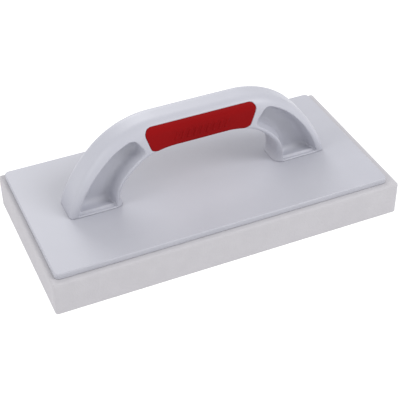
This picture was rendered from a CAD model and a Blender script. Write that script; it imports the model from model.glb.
import math

import bmesh
import bpy
import numpy as np
from mathutils import Matrix, Vector, noise


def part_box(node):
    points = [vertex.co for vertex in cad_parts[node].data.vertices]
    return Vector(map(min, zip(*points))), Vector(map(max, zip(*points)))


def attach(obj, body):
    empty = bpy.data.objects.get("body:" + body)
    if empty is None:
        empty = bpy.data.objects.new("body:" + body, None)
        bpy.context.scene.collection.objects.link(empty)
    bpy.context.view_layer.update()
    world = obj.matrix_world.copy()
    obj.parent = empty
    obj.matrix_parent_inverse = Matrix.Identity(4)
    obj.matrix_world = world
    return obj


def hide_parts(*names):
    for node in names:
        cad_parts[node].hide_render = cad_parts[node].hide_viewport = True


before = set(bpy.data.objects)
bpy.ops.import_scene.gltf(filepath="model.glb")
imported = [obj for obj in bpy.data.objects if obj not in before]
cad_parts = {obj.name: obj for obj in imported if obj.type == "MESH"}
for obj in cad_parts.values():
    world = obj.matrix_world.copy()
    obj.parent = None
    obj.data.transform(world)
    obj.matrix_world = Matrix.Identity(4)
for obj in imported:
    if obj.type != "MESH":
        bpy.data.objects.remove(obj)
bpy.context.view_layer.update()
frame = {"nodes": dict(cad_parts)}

# The float stands on z = 0 with its length along X. All lengths are metres.
MM = 0.001

# ---- Camera: from the left and above, with a long lens
CAMERA_AIM = Vector((-0.0103, -0.0291, 0.0323))
CAMERA_DISTANCE = 0.8
CAMERA_AZIMUTH = math.radians(-23.37)
CAMERA_ELEVATION = math.radians(38.63)
CAMERA_ROLL = math.radians(-0.785)
CAMERA_LENS = 95.4
SENSOR_WIDTH = 36.0
CLIP_NEAR = 0.01
CLIP_FAR = 20.0

# ---- Studio: a bright floor, an even sky and three large soft lights (place, width, watts)
FLOOR_HALF_SIZE = 6.0
FLOOR_SHADE = 0.2
FLOOR_GLOW = 0.99
SKY = 0.72
LIGHTS = {
    "left": ((-1.4, -0.2, 0.9), 0.9, 8.0),
    "back": ((0.1, 1.5, 0.9), 0.9, 10.0),
    "front_right": ((0.9, -0.8, 1.2), 0.8, 13.0),
}

# ---- Foam block. Scales are in cycles per metre
FOAM_CELL = 1.1 * MM
FOAM_LOW_RADII = (2.0 * MM, 2.0 * MM, 0.9 * MM)
FOAM_HIGH_RADII = (2.0 * MM, 2.0 * MM, 1.9 * MM)
FOAM_SAG = 0.08 * MM
FOAM_SAG_SCALE = 22
FOAM_GRAIN = 0.14 * MM
FOAM_GRAIN_SCALE = 420
FOAM_FINE_SCALE = 900
FOAM_FINE_SHARE = 0.25
FOAM_FINE_START = Vector((7, 3, 1))
FOAM_TOP_SHARE = 0.3
FACING_UP = 0.9
FOAM_PORE_SCALE = 900.0
FOAM_PORE_DEPTH = 0.12 * MM
FOAM_CLOUD = 90.0
FOAM_SHADE = (0.468, 0.458, 0.483)
FOAM_LIGHT = (0.484, 0.474, 0.499)

# ---- Moulded pieces, remade as one soft skin
HANDLE_VOXEL = 0.55 * MM
HANDLE_SMOOTHING = 6
GRIP_VOXEL = 0.4 * MM
GRIP_SMOOTHING = 12

# ---- Colours, each a pair for the slow cloudy change
CLOUD_SCALE = 18.0
GLOSS_SPREAD = 0.05
HANDLE_COLORS = ((0.432, 0.437, 0.49), (0.456, 0.461, 0.515))
PLATE_COLORS = ((0.412, 0.415, 0.463), (0.44, 0.443, 0.491))
GRIP_COLORS = ((0.21, 0.003, 0.004), (0.245, 0.004, 0.005))
GRIP_GLOSS = 0.05
FILM_COLORS = ((0.40, 0.40, 0.42), (0.46, 0.46, 0.48))
ZINC_COLORS = ((0.55, 0.55, 0.54), (0.7, 0.7, 0.68))

# ---- Raised ribs on the grip
RIB_COUNT = 9
RIB_PITCH = 5.0 * MM
RIB_WIDTH = 2.2 * MM
RIB_HALF_LENGTH = 3.6 * MM
RIB_HEIGHT = 0.6 * MM
RIB_EDGE = 0.3 * MM
RIB_LEAN = 0.35
RIB_FACING = 0.8
GRIP_SKIN = 1.6 * MM


def make_camera():
    data = bpy.data.cameras.new("camera")
    data.sensor_fit = "HORIZONTAL"
    data.sensor_width = SENSOR_WIDTH
    data.lens = CAMERA_LENS
    data.clip_start = CLIP_NEAR
    data.clip_end = CLIP_FAR
    camera = bpy.data.objects.new("camera", data)
    bpy.context.scene.collection.objects.link(camera)
    level = Vector((math.cos(CAMERA_AZIMUTH), math.sin(CAMERA_AZIMUTH), 0))
    flat = math.cos(CAMERA_ELEVATION)
    back = Vector((flat * level.y, -flat * level.x, math.sin(CAMERA_ELEVATION)))
    right = level * math.cos(CAMERA_ROLL) + back.cross(level) * math.sin(CAMERA_ROLL)
    turn = Matrix((right, back.cross(right), back)).transposed()
    place = CAMERA_AIM + back * CAMERA_DISTANCE
    camera.matrix_world = Matrix.Translation(place) @ turn.to_4x4()
    bpy.context.scene.camera = camera


# ---- Materials


def make_material(name):
    material = bpy.data.materials.new(name)
    material.use_nodes = True
    nodes, links = material.node_tree.nodes, material.node_tree.links
    nodes.clear()
    output = nodes.new("ShaderNodeOutputMaterial")
    shader = nodes.new("ShaderNodeBsdfPrincipled")
    links.new(shader.outputs["BSDF"], output.inputs["Surface"])
    return material, nodes, links, shader


def object_noise(nodes, links, scale, detail):
    """Noise fixed to the object, scale in cycles per metre."""
    place = nodes.new("ShaderNodeTexCoord")
    texture = nodes.new("ShaderNodeTexNoise")
    texture.inputs["Scale"].default_value = scale
    texture.inputs["Detail"].default_value = detail
    links.new(place.outputs["Object"], texture.inputs["Vector"])
    return texture


def ramp_color(nodes, links, factor, low, high, start, end):
    ramp = nodes.new("ShaderNodeValToRGB")
    ramp.color_ramp.elements[0].position = start
    ramp.color_ramp.elements[0].color = (*low, 1)
    ramp.color_ramp.elements[1].position = end
    ramp.color_ramp.elements[1].color = (*high, 1)
    links.new(factor, ramp.inputs["Fac"])
    return ramp.outputs["Color"]


def add_bump(nodes, links, shader, height, distance, strength):
    bump = nodes.new("ShaderNodeBump")
    bump.inputs["Distance"].default_value = distance
    bump.inputs["Strength"].default_value = strength
    links.new(height, bump.inputs["Height"])
    links.new(bump.outputs["Normal"], shader.inputs["Normal"])


def grained(name, colors, roughness, grain_scale, grain_depth, gloss=0.5):
    """A moulded surface: slow cloudy colour change, a fine grain and slightly uneven gloss."""
    material, nodes, links, shader = make_material(name)
    cloud = object_noise(nodes, links, CLOUD_SCALE, 3.0)
    base = ramp_color(nodes, links, cloud.outputs["Fac"], *colors, 0.3, 0.7)
    links.new(base, shader.inputs["Base Color"])
    grain = object_noise(nodes, links, grain_scale, 2.0)
    add_bump(nodes, links, shader, grain.outputs["Fac"], grain_depth, 0.5)
    rough = nodes.new("ShaderNodeMapRange")
    rough.inputs["To Min"].default_value = roughness - GLOSS_SPREAD
    rough.inputs["To Max"].default_value = roughness + GLOSS_SPREAD
    links.new(cloud.outputs["Fac"], rough.inputs["Value"])
    links.new(rough.outputs["Result"], shader.inputs["Roughness"])
    shader.inputs["Specular IOR Level"].default_value = gloss
    return material


def make_foam_material():
    material, nodes, links, shader = make_material("white_foam")
    place = nodes.new("ShaderNodeTexCoord")
    cells = nodes.new("ShaderNodeTexVoronoi")
    cells.inputs["Scale"].default_value = FOAM_PORE_SCALE
    links.new(place.outputs["Object"], cells.inputs["Vector"])
    cloud = object_noise(nodes, links, FOAM_CLOUD, 5.0)
    base = ramp_color(nodes, links, cloud.outputs["Fac"], FOAM_SHADE, FOAM_LIGHT, 0.35, 0.65)
    links.new(base, shader.inputs["Base Color"])
    shader.inputs["Roughness"].default_value = 1.0
    shader.inputs["Specular IOR Level"].default_value = 0.15
    add_bump(nodes, links, shader, cells.outputs["Distance"], FOAM_PORE_DEPTH, 0.6)
    return material


def assign(obj, material):
    obj.data.materials.clear()
    obj.data.materials.append(material)


def shade_smooth(mesh):
    mesh.polygons.foreach_set("use_smooth", [True] * len(mesh.polygons))
    mesh.update()


# ---- Foam block


def grid_box(low, high, cell):
    """The skin of a box as even quads, with shared corners."""
    build = bmesh.new()
    counts = [max(1, round((h - l) / cell)) for l, h in zip(low, high)]
    lines = [np.linspace(l, h, n + 1) for l, h, n in zip(low, high, counts)]
    found = {}

    def corner(i, j, k):
        key = (i, j, k)
        if key not in found:
            found[key] = build.verts.new((lines[0][i], lines[1][j], lines[2][k]))
        return found[key]

    for axis in range(3):
        u, v = [a for a in range(3) if a != axis]
        for level in (0, counts[axis]):
            for a in range(counts[u]):
                for b in range(counts[v]):
                    ring = []
                    for da, db in ((0, 0), (1, 0), (1, 1), (0, 1)):
                        index = [0, 0, 0]
                        index[axis], index[u], index[v] = level, a + da, b + db
                        ring.append(corner(*index))
                    build.faces.new(ring)
    bmesh.ops.recalc_face_normals(build, faces=build.faces)
    mesh = bpy.data.meshes.new("grid_box")
    build.to_mesh(mesh)
    build.free()
    return mesh


def round_box(points, low, high, low_radii, high_radii):
    """Moves points of a box's skin onto the same box with rounded edges, by a radius per face."""
    inner = np.clip(points, low + low_radii, high - high_radii)
    away = points - inner
    share = away / np.where(away < 0, low_radii, high_radii)
    length = np.linalg.norm(share, axis=1, keepdims=True)
    return inner + away / np.maximum(1.0, length)


def mesh_arrays(mesh):
    """A mesh's points and normals as arrays."""
    points = np.empty(len(mesh.vertices) * 3)
    mesh.vertices.foreach_get("co", points)
    normals = np.empty(len(mesh.vertices) * 3)
    mesh.vertex_normals.foreach_get("vector", normals)
    return points.reshape(-1, 3), normals.reshape(-1, 3)


def make_foam():
    low, high = (np.array(corner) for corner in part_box("foam_pad"))
    mesh = grid_box(low, high, FOAM_CELL)
    points, _ = mesh_arrays(mesh)
    points = round_box(
        points, low, high, np.array(FOAM_LOW_RADII), np.array(FOAM_HIGH_RADII)
    )
    mesh.vertices.foreach_set("co", points.ravel())
    mesh.update()
    points, normals = mesh_arrays(mesh)
    under_plate = normals[:, 2] > FACING_UP
    depth = np.empty(len(points))
    for i, p in enumerate(points):
        spot = Vector(p)
        grain = 0.5 + 0.5 * noise.noise(spot * FOAM_GRAIN_SCALE)
        grain += FOAM_FINE_SHARE * noise.noise(spot * FOAM_FINE_SCALE + FOAM_FINE_START)
        sag = 0.5 + 0.5 * noise.noise(spot * FOAM_SAG_SCALE)
        depth[i] = FOAM_GRAIN * max(0.0, grain) + FOAM_SAG * sag
    depth[under_plate] *= FOAM_TOP_SHARE
    points = np.clip(points - normals * depth[:, None], low, high)
    mesh.vertices.foreach_set("co", points.ravel())
    shade_smooth(mesh)
    foam = bpy.data.objects.new("foam_block", mesh)
    bpy.context.scene.collection.objects.link(foam)
    assign(foam, make_foam_material())
    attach(foam, "root")
    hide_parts("foam_pad")


# ---- Handle and grip


def soft_copy(node, name, voxel, smoothing):
    """A new mesh object made from a CAD node's shape: one even skin with softened edges."""
    source = frame["nodes"][node]
    obj = bpy.data.objects.new(name + "_source", source.data.copy())
    bpy.context.scene.collection.objects.link(obj)
    obj.matrix_world = source.matrix_world.copy()
    remesh = obj.modifiers.new("remesh", "REMESH")
    remesh.mode = "VOXEL"
    remesh.voxel_size = voxel
    smooth = obj.modifiers.new("smooth", "SMOOTH")
    smooth.factor = 0.5
    smooth.iterations = smoothing
    depsgraph = bpy.context.evaluated_depsgraph_get()
    mesh = bpy.data.meshes.new_from_object(obj.evaluated_get(depsgraph))
    mesh.transform(obj.matrix_world)
    mesh.name = name
    bpy.data.objects.remove(obj, do_unlink=True)
    piece = bpy.data.objects.new(name, mesh)
    bpy.context.scene.collection.objects.link(piece)
    mesh.materials.clear()
    shade_smooth(mesh)
    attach(piece, "root")
    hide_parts(node)
    return piece


def make_handle():
    handle = soft_copy("handle", "handle_moulding", HANDLE_VOXEL, HANDLE_SMOOTHING)
    assign(handle, grained("handle_plastic", HANDLE_COLORS, 0.45, 1500.0, 0.03 * MM))


def rib_height(x, z):
    """Height of the slanted ribs on the grip's face at arrays of places, zero between them."""
    height = np.zeros(len(x))
    for i in range(RIB_COUNT):
        middle = (i - (RIB_COUNT - 1) / 2) * RIB_PITCH + RIB_LEAN * z
        across = RIB_WIDTH / 2 - np.abs(x - middle)
        along = RIB_HALF_LENGTH - np.abs(z)
        inside = np.clip(np.minimum(across, along) / RIB_EDGE, 0, 1)
        height = np.maximum(height, inside * inside * (3 - 2 * inside))
    return height * RIB_HEIGHT


def make_grip():
    grip = soft_copy("grip_insert", "soft_grip", GRIP_VOXEL, GRIP_SMOOTHING)
    low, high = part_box("grip_insert")
    mesh = grip.data
    points, normals = mesh_arrays(mesh)
    side = np.abs(normals[:, 1]) > RIB_FACING
    outside = np.abs(points[:, 1]) > high[1] - GRIP_SKIN
    x = points[:, 0] - (low[0] + high[0]) / 2
    z = points[:, 2] - (low[2] + high[2]) / 2
    points[:, 1] += np.sign(points[:, 1]) * np.where(side & outside, rib_height(x, z), 0)
    mesh.vertices.foreach_set("co", points.ravel())
    mesh.update()
    assign(grip, grained("red_rubber", GRIP_COLORS, 0.55, 900.0, 0.04 * MM, GRIP_GLOSS))


# ---- Studio


def make_floor():
    mesh = bpy.data.meshes.new("floor")
    build = bmesh.new()
    bmesh.ops.create_grid(build, x_segments=1, y_segments=1, size=FLOOR_HALF_SIZE)
    build.to_mesh(mesh)
    build.free()
    floor = bpy.data.objects.new("floor", mesh)
    bpy.context.scene.collection.objects.link(floor)
    material, nodes, links, shader = make_material("floor_white")
    shader.inputs["Base Color"].default_value = (FLOOR_SHADE, FLOOR_SHADE, FLOOR_SHADE, 1)
    shader.inputs["Roughness"].default_value = 1.0
    shader.inputs["Emission Color"].default_value = (1, 1, 1, 1)
    shader.inputs["Emission Strength"].default_value = FLOOR_GLOW
    assign(floor, material)


def make_light(name, place, size, energy):
    data = bpy.data.lights.new(name, "AREA")
    data.shape = "DISK"
    data.size = size
    data.energy = energy
    light = bpy.data.objects.new(name, data)
    bpy.context.scene.collection.objects.link(light)
    light.location = place
    light.rotation_mode = "QUATERNION"
    light.rotation_quaternion = Vector(place).to_track_quat("Z", "Y")


def make_lights():
    world = bpy.data.worlds.new("studio")
    world.use_nodes = True
    background = world.node_tree.nodes["Background"]
    background.inputs["Color"].default_value = (1, 1, 1, 1)
    background.inputs["Strength"].default_value = SKY
    bpy.context.scene.world = world
    for name, (place, size, energy) in LIGHTS.items():
        make_light(name, place, size, energy)


bpy.context.scene.view_settings.view_transform = "Standard"
make_camera()
make_floor()
make_lights()
make_foam()
make_handle()
make_grip()
nodes = frame["nodes"]
assign(nodes["adhesive_film"], grained("film", FILM_COLORS, 0.6, 800.0, 0.02 * MM))
assign(nodes["backing_plate"], grained("plate_plastic", PLATE_COLORS, 0.5, 1200.0, 0.03 * MM))
assign(nodes["handle_screws"], grained("screw_zinc", ZINC_COLORS, 0.3, 2000.0, 0.01 * MM))
